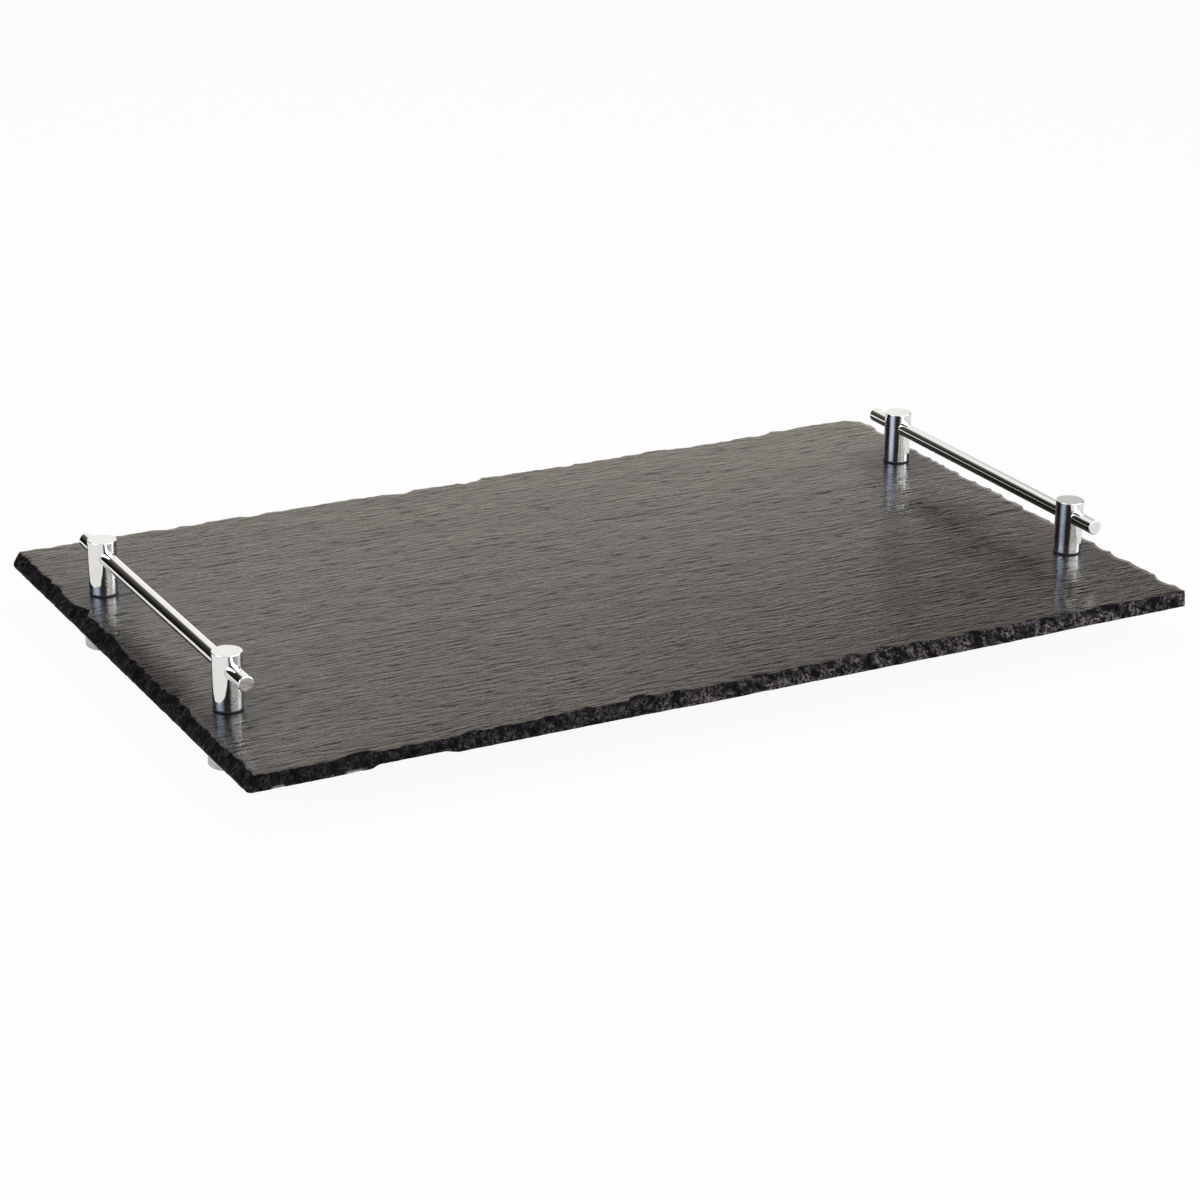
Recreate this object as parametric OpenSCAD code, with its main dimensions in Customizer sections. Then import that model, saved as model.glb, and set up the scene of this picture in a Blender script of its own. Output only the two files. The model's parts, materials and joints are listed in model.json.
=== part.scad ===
// Slate serving board: a hewn slate slab on four feet, with a bar handle at each end.
// The table is at z = 0, the board's length lies along X, and its front faces -Y.
// The origin is under the middle of the slate.

/* [Slate] */
// Length of the slate over its furthest points
slate_length = 530; // [420:5:640]
// Width of the slate over its furthest points
slate_width = 325; // [260:5:400]
// Thickness of the slate
slate_thickness = 7.5; // [5:0.5:12]
// Mean width of the flakes that were struck off along the edges
flake_width = 12; // [9:1:20]
// Greatest depth at the top edge of a flake of mean width
flake_depth = 2.2; // [0.8:0.1:3]
// Depth of the slow waves in the line of the top edge
edge_wander = 1.6; // [0.4:0.1:3]
// Lean of the front side, from its widest line in to the top edge
front_lean = 1.6; // [0.8:0.1:5]
// Lean of the right side
right_lean = 0.8; // [0.4:0.1:5]
// Lean of the rear side
rear_lean = 0.8; // [0.4:0.1:5]
// Lean of the left side
left_lean = 3.3; // [0.8:0.1:5]
// Height of the sides' widest line above the underside
ridge_height = 1.6; // [0.8:0.1:2.5]
// How far the sides draw in below their widest line
undercut = 0.6; // [0.2:0.1:1.5]
// Radius of the three sound corners
corner_radius = 3; // [2:0.5:8]
// Radius of the broken corner at the rear right
broken_corner_radius = 15; // [5:0.5:20]

/* [Posts] */
// Diameter of a post
post_diameter = 15; // [13:0.5:20]
// Height of a post
post_height = 28.4; // [27.5:0.1:40]
// Radius of the round edges at a post's two ends
post_edge_radius = 0.3; // [0.2:0.1:1]
// Distance from the slate's end to the axis of a post
post_inset = 22; // [18:0.5:40]
// Distance between the two posts of a handle
post_spacing = 168; // [120:1:220]
// How far all four posts sit to the right of the slate's middle
post_shift_right = 1.5; // [0:0.1:3]
// How far all four posts sit to the rear of the slate's middle
post_shift_rear = 1.2; // [0:0.1:3]

/* [Handle bars] */
// Diameter of a bar
bar_diameter = 8; // [6:0.5:9]
// Depth of a bar's axis below the top of its posts
bar_drop = 8.4; // [6:0.1:10]
// Mean length of bar that stands out past a post's axis
bar_overhang = 23.5; // [15:0.5:35]
// How far the bars were pushed through to the rear
bar_slip = 0.3; // [0:0.1:3]
// Radius of the round edges at a bar's two ends
bar_edge_radius = 0.5; // [0.2:0.1:2]

/* [Gaskets] */
// Diameter of the ring under a post
gasket_diameter = 14.8; // [13:0.1:18]
// Thickness of the ring
gasket_thickness = 0.8; // [0.5:0.1:2]

/* [Feet] */
// Diameter of a foot
foot_diameter = 21; // [17:0.5:26]
// Height of a foot
foot_height = 21; // [14:0.5:28]
// Thickness of the web that the washer bears on
foot_web = 6; // [3:0.5:8]
// Radius of the round edge that a foot stands on
foot_edge_radius = 0.8; // [0.4:0.1:1.5]
// Bevel round a foot's top
foot_bevel = 0.4; // [0.2:0.1:1]

/* [Fasteners] */
// Thread diameter of the screws
screw_diameter = 5; // [4:0.5:6]
// Share of the tapped hole's filled length that the screw takes up
thread_share = 0.53; // [0.4:0.01:0.6]
// Gap between a screw's tip and the grub screw above it
tip_gap = 3.25; // [1:0.05:5]
// Diameter of a screw's button head
head_diameter = 9.5; // [8:0.5:11]
// Height of a screw's button head
head_height = 2.75; // [2:0.05:4]
// Width of the hexagon socket in a screw's head, across its corners
head_socket = 3.5; // [2.5:0.1:4]
// Depth of the hexagon socket in a screw's head
head_socket_depth = 1.6; // [0.8:0.1:1.8]
// Diameter of a washer
washer_diameter = 12; // [11:0.5:13]
// Thickness of a washer
washer_thickness = 1; // [0.6:0.1:2]
// Width of the hexagon socket in a grub screw, across its corners
grub_socket = 2.9; // [1.8:0.1:3]
// Depth of the hexagon socket in a grub screw
grub_socket_depth = 2.4; // [1:0.1:3]

/* [Clearances] */
// Gap all round a bar in its posts
bar_gap = 0.05; // [0.03:0.01:0.2]
// Gap all round a screw in the tapped hole of its post
thread_gap = 0.05; // [0.03:0.01:0.2]
// Gap all round a screw in its foot, washer and gasket
screw_gap = 0.25; // [0.1:0.05:0.4]
// Gap all round a screw in the slate
slate_hole_gap = 0.75; // [0.5:0.05:1.5]
// Gap all round a washer in its foot
washer_gap = 0.3; // [0.1:0.05:0.5]

/* [Hidden] */

$fn = 64;

// Sides and rows of the four posts
left = -1;
right = 1;
front = -1;
rear = 1;

// Colours of the finishes
slate_colour = "dimgray";
chrome_colour = "gainsboro";
gasket_colour = "black";
foot_colour = "lightgray";
steel_colour = "silver";

// Heights of the stack, from the table up
slate_base = foot_height;
slate_top = slate_base + slate_thickness;
post_base = slate_top + gasket_thickness;
bar_rise = post_height - bar_drop;
bar_height = post_base + bar_rise;

// Bores, each cut round what passes through it
bar_bore = bar_diameter + 2 * bar_gap;
tapped_bore = screw_diameter + 2 * thread_gap;
screw_bore = screw_diameter + 2 * screw_gap;
slate_bore = screw_diameter + 2 * slate_hole_gap;
washer_bore = washer_diameter + 2 * washer_gap;

// Where the washer and the screw's head seat inside a foot
washer_top = foot_height - foot_web;
screw_seat = washer_top - washer_thickness;

// Screw from below and grub screw under the bar, which share the tapped hole
grub_top = bar_height - bar_diameter / 2 - bar_gap;
filled_length = grub_top - post_base - tip_gap;
thread_grip = thread_share * filled_length;
grub_length = filled_length - thread_grip;
screw_length = post_base + thread_grip - screw_seat;
thread_bevel = screw_diameter / 10;

// How far in from the slate's furthest lines the even field of its flat faces lies
field_margin = post_inset / 2;

// How far a cut runs past the face that it opens
overrun = slate_thickness / 10;

// The four sides in turn, counter-clockwise: front, right, rear and left
side_lengths = [slate_length, slate_width, slate_length, slate_width];
side_reaches = [slate_width, slate_length, slate_width, slate_length] / 2;
side_leans = [front_lean, right_lean, rear_lean, left_lean];
// Radius of the corner that each side ends in
side_end_radii = [corner_radius, broken_corner_radius, corner_radius, corner_radius];

// Rings of points round the slab: the underside's even field, its edge, the sides' widest line,
// a line half way up from there, the top face's edge, and that face's even field
middle_height = (ridge_height + slate_thickness) / 2;
ring_heights = [0, 0, ridge_height, middle_height, slate_thickness, slate_thickness];
ring_field_shares = [1, 0, 0, 0, 0, 1];
ring_undercut_shares = [0, 1, 0, 0, 0, 0];
ring_lean_shares = [0, 0, 0, 0.35, 1, 0];
ring_flake_shares = [0, 0.4, 0.1, 0.6, 1, 0];

// How unlike in width the flakes are, and the size of the least flake beside the greatest
flake_spread_share = 0.55;
least_flake_share = 0.15;
// Points of a flake's scoop, and of a corner's round
flake_steps = 3;
corner_steps = 3;
// Waves along a side in the line of the top edge
wander_waves = 3;

// A repeatable chance value from 0 to 1 for a whole number
function chance(number) =
  let (spun = sin(number * 127.1 + 311.7) * 43758.5)
  spun - floor(spun);

// A number of its own for each flake of each side
function flake_number(side, flake) = 101 * side + flake;

// Flakes that fit along a side
function flake_count(side) = round(side_lengths[side] / flake_width);

// Width of each flake of a side, as a share of the mean
function flake_widths(side) = [
  for (flake = [0 : flake_count(side) - 1])
    1 + flake_spread_share * (2 * chance(flake_number(side, flake)) - 1)
];

// Where a side's flakes meet, as shares of its straight run
function cusp_shares(side) =
  let (widths = flake_widths(side))
  let (whole = widths * [for (width = widths) 1])
  [
    for (flake = 0, sum = 0; flake < len(widths); sum = sum + widths[flake], flake = flake + 1)
      sum / whole,
    1
  ];

// Size of each flake of a side, as a share of the greatest that its width allows
function flake_size(side, flake) =
  least_flake_share + (1 - least_flake_share) * chance(flake_number(side, flake) + 0.5);

// Depth of a flake's scoop at a share of its width: wide flakes bite deeper than narrow ones
function scoop(side, flake, share) =
  let (relative_width = flake_widths(side)[flake])
  flake_depth * relative_width * flake_size(side, flake) * 4 * share * (1 - share);

// Depth of the slow waves at a share of a side's run, nothing at its ends
function wander(side, share) =
  edge_wander * sin(180 * share)
  * (1 + sin(360 * (wander_waves * share + chance(side)))) / 2;

// How far a ring lies inside a side's furthest line
function ring_inset(side, ring) =
  ring_lean_shares[ring] * side_leans[side]
  + ring_undercut_shares[ring] * undercut
  + ring_field_shares[ring] * field_margin;

// A point of a side, from how far along and how far out it lies
function side_point(side, along, out) =
  let (turn = 90 * side)
  [along * cos(turn) + out * sin(turn), along * sin(turn) - out * cos(turn)];

// Outline of one ring: each side's scooped run and then the round of its end corner
function ring_outline(ring) = [
  for (side = [0 : 3])
    let (last = (side + 3) % 4)
    let (next = (side + 1) % 4)
    let (reach = side_reaches[side] - ring_inset(side, ring))
    let (start_radius = side_end_radii[last])
    let (end_radius = side_end_radii[side])
    let (run_start = ring_inset(last, ring) - side_reaches[last] + start_radius)
    let (run_end = side_reaches[next] - ring_inset(next, ring) - end_radius)
    let (cusps = cusp_shares(side))
    each concat(
      [
        for (flake = [0 : flake_count(side) - 1])
          for (step = [0 : flake_steps - 1])
            let (within = step / flake_steps)
            let (share = cusps[flake] + within * (cusps[flake + 1] - cusps[flake]))
            let (along = run_start + share * (run_end - run_start))
            let (bite = ring_flake_shares[ring] * scoop(side, flake, within))
            let (wave = ring_lean_shares[ring] * wander(side, share))
            side_point(side, along, reach - bite - wave)
      ],
      [
        for (step = [0 : corner_steps - 1])
          let (turn = 90 * step / corner_steps)
          let (along = run_end + end_radius * sin(turn))
          let (out = reach - end_radius * (1 - cos(turn)))
          side_point(side, along, out)
      ]
    )
];

// The slab before drilling: its rings joined band by band, and a fan to the middle of each flat face
module hewn_slab() {
  outlines = [for (ring = [0 : len(ring_heights) - 1]) ring_outline(ring)];
  count = len(outlines[0]);
  last_ring = len(ring_heights) - 1;
  points = concat(
    [
      for (ring = [0 : last_ring])
        for (point = outlines[ring])
          [point[0], point[1], ring_heights[ring]]
    ],
    [[0, 0, 0], [0, 0, slate_thickness]]
  );
  top_middle = len(points) - 1;
  underside_middle = top_middle - 1;
  underside = [for (i = [0 : count - 1]) [i, (i + 1) % count, underside_middle]];
  top_face = [
    for (i = [0 : count - 1])
      [last_ring * count + (i + 1) % count, last_ring * count + i, top_middle]
  ];
  bands = [
    for (ring = [0 : last_ring - 1])
      for (i = [0 : count - 1])
        let (low = ring * count + i)
        let (low_next = ring * count + (i + 1) % count)
        each [[low, low + count, low_next + count], [low, low_next + count, low_next]]
  ];
  polyhedron(points = points, faces = concat(underside, bands, top_face));
}

// Puts its children on the axis of one post
module at_post(side, row) {
  translate([
    side * (slate_length / 2 - post_inset) + post_shift_right,
    row * post_spacing / 2 + post_shift_rear,
    0
  ])
    children();
}

// Slate slab with a hole under each post
module slate_board() {
  color(slate_colour)
    difference() {
      translate([0, 0, slate_base])
        hewn_slab();
      for (side = [left, right])
        for (row = [front, rear])
          at_post(side, row)
            translate([0, 0, slate_base - overrun])
              cylinder(d = slate_bore, h = slate_thickness + 2 * overrun);
    }
}

// Round bar on the Z axis with a round edge at each end
module rounded_rod(diameter, length, edge_radius) {
  centre = diameter / 2 - edge_radius;
  rotate_extrude()
    polygon(concat(
      [[0, 0]],
      [
        for (turn = [-90 : 15 : 0])
          [centre + edge_radius * cos(turn), edge_radius * (1 + sin(turn))]
      ],
      [
        for (turn = [0 : 15 : 90])
          [centre + edge_radius * cos(turn), length - edge_radius * (1 - sin(turn))]
      ],
      [[0, length]]
    ));
}

// Turned post, bored across for the bar and tapped from below
module post() {
  color(chrome_colour)
    translate([0, 0, post_base])
      difference() {
        rounded_rod(post_diameter, post_height, post_edge_radius);
        translate([0, 0, bar_rise])
          rotate([90, 0, 0])
            cylinder(d = bar_bore, h = post_diameter + 2 * overrun, center = true);
        translate([0, 0, -overrun])
          cylinder(d = tapped_bore, h = bar_rise + overrun);
      }
}

// Handle bar through the two posts of one side
module handle_bar(side) {
  length = post_spacing + 2 * bar_overhang;
  color(chrome_colour)
    at_post(side, 0)
      translate([0, bar_slip + length / 2, bar_height])
        rotate([90, 0, 0])
          rounded_rod(bar_diameter, length, bar_edge_radius);
}

// Black ring between a post and the slate
module gasket() {
  color(gasket_colour)
    translate([0, 0, slate_top])
      difference() {
        cylinder(d = gasket_diameter, h = gasket_thickness);
        translate([0, 0, -overrun])
          cylinder(d = screw_bore, h = gasket_thickness + 2 * overrun);
      }
}

// Outline of a foot's outer half section, with its round standing edge
module foot_section() {
  radius = foot_diameter / 2;
  centre = radius - foot_edge_radius;
  polygon(concat(
    [[0, foot_height], [0, 0]],
    [
      for (turn = [-90 : 15 : 0])
        [centre + foot_edge_radius * cos(turn), foot_edge_radius * (1 + sin(turn))]
    ],
    [[radius, foot_height - foot_bevel], [radius - foot_bevel, foot_height]]
  ));
}

// Foot, bored for its screw and counterbored from below for the washer
module foot() {
  color(foot_colour)
    difference() {
      rotate_extrude()
        foot_section();
      translate([0, 0, -overrun])
        cylinder(d = screw_bore, h = foot_height + 2 * overrun);
      translate([0, 0, -overrun])
        cylinder(d = washer_bore, h = washer_top + overrun);
    }
}

// Flat washer that spreads the pull of the screw over the foot's web
module washer() {
  color(steel_colour)
    translate([0, 0, screw_seat])
      difference() {
        cylinder(d = washer_diameter, h = washer_thickness);
        translate([0, 0, -overrun])
          cylinder(d = screw_bore, h = washer_thickness + 2 * overrun);
      }
}

// Outer half section of a button head screw, its head seated at zero
module screw_section() {
  dome_steps = 6;
  head_radius = head_diameter / 2;
  shank_radius = screw_diameter / 2;
  polygon(concat(
    [[0, screw_length], [0, -head_height]],
    [
      for (step = [0 : dome_steps])
        let (turn = 90 * step / dome_steps)
        [head_radius * (1 + sin(turn)) / 2, -head_height * (1 + 3 * cos(turn)) / 4]
    ],
    [
      [head_radius, 0],
      [shank_radius, 0],
      [shank_radius, screw_length - thread_bevel],
      [shank_radius - thread_bevel, screw_length]
    ]
  ));
}

// Button head screw, up through washer, foot, slate and gasket into the post
module screw() {
  color(steel_colour)
    translate([0, 0, screw_seat])
      difference() {
        rotate_extrude()
          screw_section();
        translate([0, 0, -head_height - overrun])
          cylinder(d = head_socket, h = head_socket_depth + overrun, $fn = 6);
      }
}

// Grub screw that presses up against the bar from inside the post
module grub_screw() {
  color(steel_colour)
    translate([0, 0, grub_top - grub_length])
      difference() {
        rounded_rod(screw_diameter, grub_length, thread_bevel);
        translate([0, 0, -overrun])
          cylinder(d = grub_socket, h = grub_socket_depth + overrun, $fn = 6);
      }
}

module left_front_post() { at_post(left, front) post(); }
module left_rear_post() { at_post(left, rear) post(); }
module right_front_post() { at_post(right, front) post(); }
module right_rear_post() { at_post(right, rear) post(); }

module left_handle_bar() { handle_bar(left); }
module right_handle_bar() { handle_bar(right); }

module left_front_gasket() { at_post(left, front) gasket(); }
module left_rear_gasket() { at_post(left, rear) gasket(); }
module right_front_gasket() { at_post(right, front) gasket(); }
module right_rear_gasket() { at_post(right, rear) gasket(); }

module left_front_foot() { at_post(left, front) foot(); }
module left_rear_foot() { at_post(left, rear) foot(); }
module right_front_foot() { at_post(right, front) foot(); }
module right_rear_foot() { at_post(right, rear) foot(); }

module left_front_screw() { at_post(left, front) screw(); }
module left_rear_screw() { at_post(left, rear) screw(); }
module right_front_screw() { at_post(right, front) screw(); }
module right_rear_screw() { at_post(right, rear) screw(); }

module left_front_washer() { at_post(left, front) washer(); }
module left_rear_washer() { at_post(left, rear) washer(); }
module right_front_washer() { at_post(right, front) washer(); }
module right_rear_washer() { at_post(right, rear) washer(); }

module left_front_grub_screw() { at_post(left, front) grub_screw(); }
module left_rear_grub_screw() { at_post(left, rear) grub_screw(); }
module right_front_grub_screw() { at_post(right, front) grub_screw(); }
module right_rear_grub_screw() { at_post(right, rear) grub_screw(); }

slate_board();
left_front_post();
left_rear_post();
right_front_post();
right_rear_post();
left_handle_bar();
right_handle_bar();
left_front_gasket();
left_rear_gasket();
right_front_gasket();
right_rear_gasket();
left_front_foot();
left_rear_foot();
right_front_foot();
right_rear_foot();
left_front_screw();
left_rear_screw();
right_front_screw();
right_rear_screw();
left_front_washer();
left_rear_washer();
right_front_washer();
right_rear_washer();
left_front_grub_screw();
left_rear_grub_screw();
right_front_grub_screw();
right_rear_grub_screw();
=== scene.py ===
"""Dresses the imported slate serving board: cleft slate, chrome handles, rubber feet and steel screws.

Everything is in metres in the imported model's frame: the table is at z = 0, the board's length lies
along X, its front faces -Y, and the origin is under the middle of the slate.
"""

import json
import logging
import math
from dataclasses import dataclass
from enum import Enum

import bmesh
import bpy
from mathutils import Matrix, Vector, noise

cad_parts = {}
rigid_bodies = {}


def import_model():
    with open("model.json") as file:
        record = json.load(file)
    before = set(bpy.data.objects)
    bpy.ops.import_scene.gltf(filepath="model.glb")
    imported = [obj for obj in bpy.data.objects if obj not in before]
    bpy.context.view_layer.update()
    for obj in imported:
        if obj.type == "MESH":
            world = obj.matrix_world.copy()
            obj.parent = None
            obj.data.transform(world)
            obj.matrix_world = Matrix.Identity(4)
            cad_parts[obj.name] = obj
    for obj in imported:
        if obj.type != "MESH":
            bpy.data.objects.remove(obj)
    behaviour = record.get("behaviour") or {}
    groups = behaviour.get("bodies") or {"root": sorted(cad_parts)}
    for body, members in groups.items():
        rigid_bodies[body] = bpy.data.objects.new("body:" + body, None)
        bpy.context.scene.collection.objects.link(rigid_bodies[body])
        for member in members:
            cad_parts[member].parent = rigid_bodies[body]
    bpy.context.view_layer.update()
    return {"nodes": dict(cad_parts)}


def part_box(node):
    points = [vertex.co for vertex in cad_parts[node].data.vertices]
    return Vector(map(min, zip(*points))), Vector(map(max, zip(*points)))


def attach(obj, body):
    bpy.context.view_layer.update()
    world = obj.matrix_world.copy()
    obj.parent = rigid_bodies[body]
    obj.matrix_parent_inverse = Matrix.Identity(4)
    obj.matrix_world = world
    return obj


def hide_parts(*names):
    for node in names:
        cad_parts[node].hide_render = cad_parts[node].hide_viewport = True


for leftover in list(bpy.data.objects):
    bpy.data.objects.remove(leftover)
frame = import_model()

MM = 0.001
# Lengths in metres below this count as none.
TINY = 1e-6
EASED = "SMOOTHSTEP"
WHITE = "#ffffff"
Band = tuple[float, float]
Socket = bpy.types.NodeSocket
Tree = bpy.types.NodeTree
log = logging.getLogger("serving_board")


class Side(Enum):
    """The slab's four sides, counter-clockwise."""

    FRONT = 0
    RIGHT = 1
    REAR = 2
    LEFT = 3


class Mark(Enum):
    """What the slab's points carry for its finishes, by the names of the mesh's layers."""

    CLEFT = "cleft"
    DRESSED = "dressed"
    # Light flecks on the sides, partly crumbs and partly painted highlight.
    FLECK_HIGHLIGHT = "flecks"
    FRESH = "fresh"
    # The oil's gloss, with painted shade in places.
    OIL_AND_SHADE = "oil"
    RELIEF = "relief"


class Post(Enum):
    """The four posts, by the names that their nodes start with."""

    LEFT_FRONT = "left_front"
    LEFT_REAR = "left_rear"
    RIGHT_FRONT = "right_front"
    RIGHT_REAR = "right_rear"

    def node(self, kind: str) -> str:
        """Returns the name of the CAD node of one kind at this post."""
        return f"{self.value}_{kind}"

    def axis(self) -> Vector:
        """Returns the place in plan of this post's axis."""
        low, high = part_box(self.node("post"))
        return ((low + high) / 2).to_2d()


def linear(hex_colour: str) -> tuple[float, float, float, float]:
    """Turns an sRGB hex colour into the linear colour that shaders take.

    Args:
        hex_colour: The colour as "#rrggbb".

    Returns:
        Red, green, blue and an alpha of 1.
    """
    shares = [int(hex_colour[i : i + 2], 16) / 255 for i in (1, 3, 5)]
    red, green, blue = (s / 12.92 if s <= 0.04045 else ((s + 0.055) / 1.055) ** 2.4 for s in shares)
    return red, green, blue, 1.0


def smooth_step(value: float, start: float, end: float) -> float:
    """Returns 0 before start and 1 after end, with an easy rise between them."""
    share = min(max((value - start) / (end - start), 0.0), 1.0)
    return share * share * (3 - 2 * share)


def empty_tree(owner: bpy.types.Material | bpy.types.World) -> Tree:
    """Turns on the node tree of a material or world.

    Args:
        owner: The material or world.

    Returns:
        Its node tree, without nodes.
    """
    owner.use_nodes = True
    owner.node_tree.nodes.clear()
    return owner.node_tree


def set_inputs(tree: Tree, node: bpy.types.Node, inputs: dict) -> None:
    """Gives a node's input sockets their values and links.

    Args:
        tree: The node's tree.
        node: The node.
        inputs: What each input socket gets, by name or number: a value, or a socket to link from.
    """
    for key, value in inputs.items():
        if isinstance(value, Socket):
            tree.links.new(value, node.inputs[key])
        else:
            node.inputs[key].default_value = value


def add_node(tree: Tree, kind: str, inputs: dict | None = None, **settings) -> bpy.types.Node:
    """Adds a node to a tree, with its settings, values and links.

    Args:
        tree: The node tree that gets the node.
        kind: Blender's name for the node's type, without "ShaderNode".
        inputs: What each input socket gets, by name or number: a value, or a socket to link from.
        settings: The node's own properties by name.

    Returns:
        The new node.
    """
    node = tree.nodes.new("ShaderNode" + kind)
    for name, value in settings.items():
        setattr(node, name, value)
    set_inputs(tree, node, inputs or {})
    return node


def add_noise(
    tree: Tree, place: Socket, width: float, detail: float = 2.0, rough: float = 0.5, twist: float = 0.0
) -> Socket:
    """Adds noise with lumps of a width, and finer layers of a number and strength. Returns its socket."""
    inputs = {"Vector": place, "Scale": 1 / width, "Detail": detail, "Roughness": rough, "Distortion": twist}
    return add_node(tree, "TexNoise", inputs).outputs["Fac"]


def map_range(
    tree: Tree, value: Socket, source: Band = (0.0, 1.0), target: Band = (0.0, 1.0), ease: str = "LINEAR"
) -> Socket:
    """Adds a node that maps one range of a value to another and holds it there. Returns its socket."""
    inputs = dict(zip(("Value", "From Min", "From Max", "To Min", "To Max"), (value, *source, *target)))
    return add_node(tree, "MapRange", inputs, interpolation_type=ease).outputs["Result"]


def calculate(tree: Tree, operation: str, *values: Socket | float) -> Socket:
    """Adds a sum on some values, and returns the socket of its result."""
    return add_node(tree, "Math", dict(enumerate(values)), operation=operation).outputs[0]


def mix_colours(tree: Tree, share: Socket, first: Socket | str, second: Socket | str) -> Socket:
    """Adds a mix of two colours, each a socket or hex, with a share of the second. Returns its socket."""
    first, second = (linear(colour) if isinstance(colour, str) else colour for colour in (first, second))
    return add_node(tree, "Mix", {"Factor": share, 6: first, 7: second}, data_type="RGBA").outputs[2]


def add_bump(
    tree: Tree, height: Socket, depth: float, strength: Socket | float = 1.0, below: Socket | None = None
) -> Socket:
    """Adds a bump.

    Args:
        tree: The node tree that gets it.
        height: The relief, from 0 to 1.
        depth: How deep the relief is.
        strength: How much of it shows.
        below: The normal that it is laid over, if that isn't the mesh's own.

    Returns:
        The socket of its normal.
    """
    inputs = {"Height": height, "Distance": depth, "Strength": strength}
    if below is not None:
        inputs["Normal"] = below
    return add_node(tree, "Bump", inputs).outputs["Normal"]


def read_mark(tree: Tree, mark: Mark) -> Socket:
    """Adds a reader of a mark that the slab carries, and returns the socket of its value."""
    return add_node(tree, "Attribute", attribute_name=mark.value).outputs["Fac"]


def pick(parts: list, kind: type) -> list:
    """Returns those of a shape's parts that are of one kind."""
    return [part for part in parts if isinstance(part, kind)]


def make_mesh(name: str, shape: bmesh.types.BMesh, *finishes: bpy.types.Material) -> bpy.types.Mesh:
    """Turns a shape into a mesh.

    Args:
        name: The mesh's name.
        shape: The shape, which is freed.
        finishes: The mesh's materials.

    Returns:
        The mesh.
    """
    mesh = bpy.data.meshes.new(name)
    shape.to_mesh(mesh)
    shape.free()
    for finish in finishes:
        mesh.materials.append(finish)
    return mesh


def add_object(name: str, data: bpy.types.ID) -> bpy.types.Object:
    """Adds an object to the scene.

    Args:
        name: Its name.
        data: Its mesh, lamp or camera data.

    Returns:
        The object.
    """
    thing = bpy.data.objects.new(name, data)
    bpy.context.scene.collection.objects.link(thing)
    return thing


@dataclass(frozen=True)
class Finish:
    """What every finish of the board has: its name in Blender and its node tree.

    A texture in a finish is how many finer layers its noise has, and how strong each of them is.
    """

    name: str = "finish"

    def start(self) -> tuple[bpy.types.Material, Tree, bpy.types.Node, Socket]:
        """Makes an empty material with its shader.

        Returns:
            The material, its tree, its Principled shader and the socket of the object's own coordinates.
        """
        material = bpy.data.materials.new(self.name)
        tree = empty_tree(material)
        shader = add_node(tree, "BsdfPrincipled")
        add_node(tree, "OutputMaterial", {"Surface": shader.outputs["BSDF"]})
        return material, tree, shader, add_node(tree, "TexCoord").outputs["Object"]


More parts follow.
